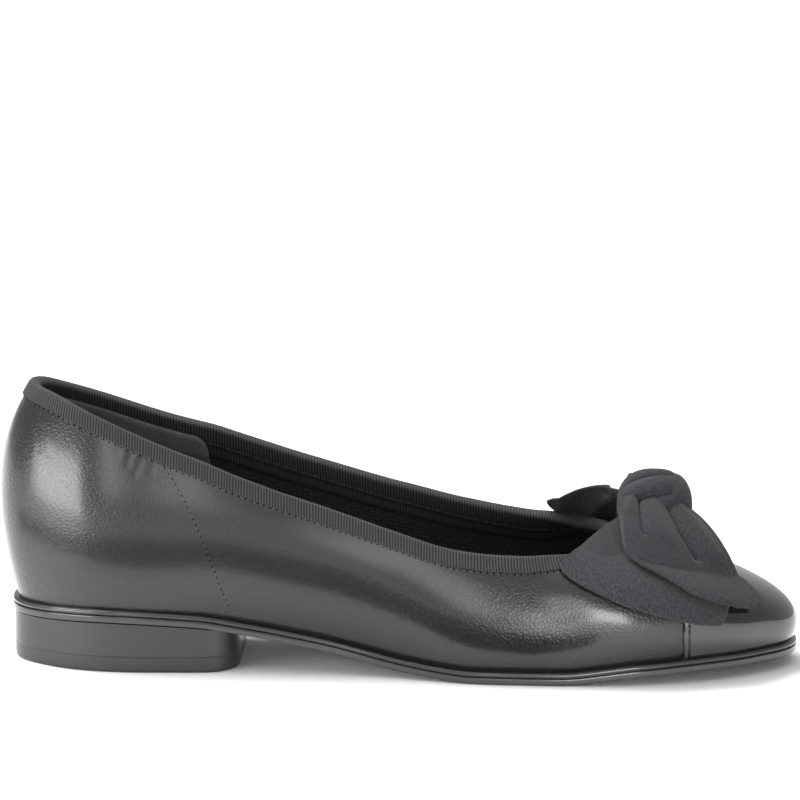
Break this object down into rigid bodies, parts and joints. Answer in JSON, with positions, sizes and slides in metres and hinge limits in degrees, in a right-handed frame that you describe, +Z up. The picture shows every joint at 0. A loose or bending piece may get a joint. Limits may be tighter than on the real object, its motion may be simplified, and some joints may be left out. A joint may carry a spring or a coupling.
{
  "type": "ballet flat",
  "caption": "Low-heeled ballet flat with a patent toe cap, ribbon-bound collar, block heel and a tied ribbon bow.",
  "frame": {"origin": "middle of the heel's tread, on the floor", "axes": "+X along the shoe to the toe, +Y to the inner side of the foot, +Z up"},
  "size_m": [0.2533, 0.0801, 0.0887],
  "materials": {
    "sole": "satin edge with a polished bead",
    "heel": "satin with faint level streaks",
    "top_lift": "satin",
    "sock": "ribbed weave",
    "nappa": "semi-gloss, fine grain",
    "patent": "patent, high gloss",
    "grosgrain": "ribbed ribbon",
    "suede": "suede",
    "crepe": "matt crinkled ribbon"
  },
  "bodies": {
    "root": {"outsole": "sole", "heel_block": "heel", "heel_top_lift": "top_lift", "insole": "sock", "upper": "nappa", "toe_cap": "patent", "collar_binding": "grosgrain", "heel_grip": "suede", "bow_loop_near": "crepe", "bow_tail_near": "crepe", "bow_loop_far": "crepe", "bow_tail_far": "crepe", "bow_knot": "crepe"}
  },
  "joints": []
}
